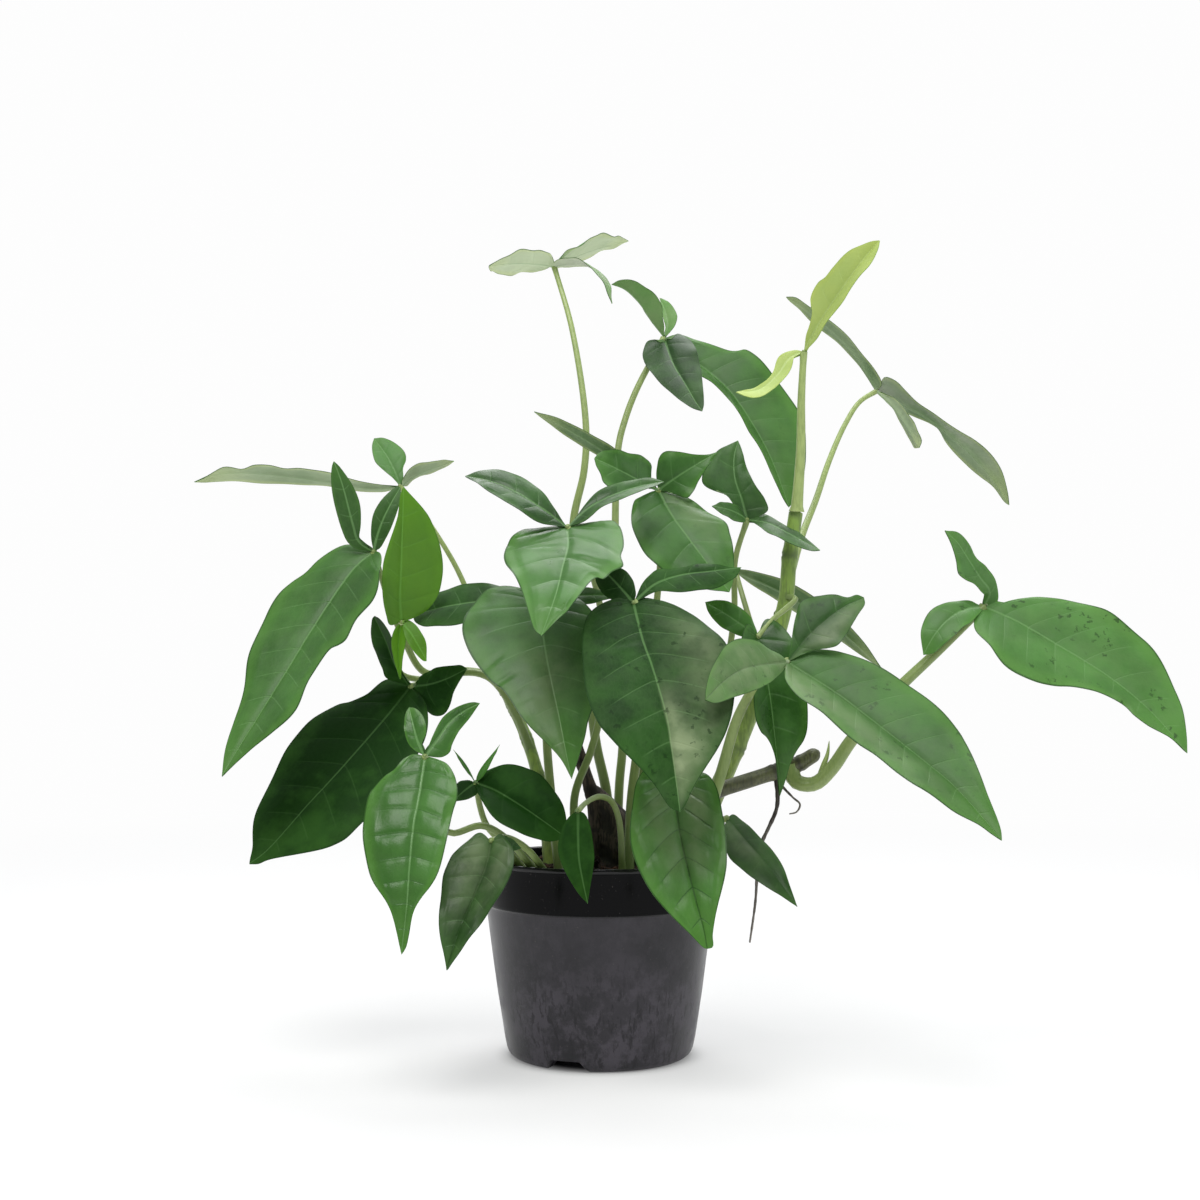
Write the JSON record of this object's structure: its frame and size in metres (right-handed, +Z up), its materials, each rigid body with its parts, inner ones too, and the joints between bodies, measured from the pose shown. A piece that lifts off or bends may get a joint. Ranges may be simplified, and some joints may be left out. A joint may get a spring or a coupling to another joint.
{
  "type": "arrowhead plant in a nursery pot",
  "caption": "Potted arrowhead vine: lobed green leaves on long petioles and short vines rising from soil in a tapered black plastic nursery pot with a collar and drain notches.",
  "frame": {"origin": "centre of the pot's foot, on the surface that the pot stands on", "axes": "+Z up along the pot's axis, -Y towards the plant's fuller front side, +X to the right as seen from the front"},
  "size_m": [0.5303, 0.2697, 0.468],
  "materials": {
    "leaf_mature": "satin green leaf, pale matt underside",
    "leaf_fresh": "satin bright green new leaf",
    "leaf_young": "satin yellow-green young leaf",
    "petiole": "smooth pale green leaf stalk",
    "vine": "smooth green climbing stem",
    "old_stem": "dull olive brown old stem",
    "dark_stem": "dull dark brown dry stem",
    "aerial_root": "dull brown root",
    "soil": "rough dark potting mix of peat and fibre",
    "pot": "black thin-walled plastic, smooth collar and dusty matt wall"
  },
  "bodies": {
    "root": {"aerial_root_long": "aerial_root", "aerial_root_short": "aerial_root", "dark_stem": "dark_stem", "leaf_01": "leaf_mature", "leaf_02": "leaf_mature", "leaf_03": "leaf_young", "leaf_04": "leaf_mature", "leaf_05": "leaf_mature", "leaf_06": "leaf_mature", "leaf_07": "leaf_mature", "leaf_08": "leaf_mature", "leaf_09": "leaf_mature", "leaf_10": "leaf_mature", "leaf_11": "leaf_mature", "leaf_12": "leaf_mature", "leaf_13": "leaf_mature", "leaf_14": "leaf_fresh", "leaf_15": "leaf_mature", "leaf_16": "leaf_mature", "leaf_17": "leaf_mature", "leaf_18": "leaf_mature", "leaf_19": "leaf_mature", "leaf_20": "leaf_mature", "leaf_21": "leaf_mature", "leaf_22": "leaf_mature", "leaf_23": "leaf_mature", "nursery_pot": "pot", "old_stem": "old_stem", "petiole_01": "petiole", "petiole_02": "petiole", "petiole_03": "petiole", "petiole_04": "petiole", "petiole_05": "petiole", "petiole_06": "petiole", "petiole_07": "petiole", "petiole_08": "petiole", "petiole_09": "petiole", "petiole_10": "petiole", "petiole_11": "petiole", "petiole_12": "petiole", "petiole_13": "petiole", "petiole_14": "petiole", "petiole_15": "petiole", "petiole_16": "petiole", "petiole_17": "petiole", "petiole_18": "petiole", "petiole_19": "petiole", "petiole_20": "petiole", "petiole_21": "petiole", "petiole_22": "petiole", "petiole_23": "petiole", "potting_soil": "soil", "vine_left": "vine", "vine_right": "vine"}
  },
  "joints": []
}
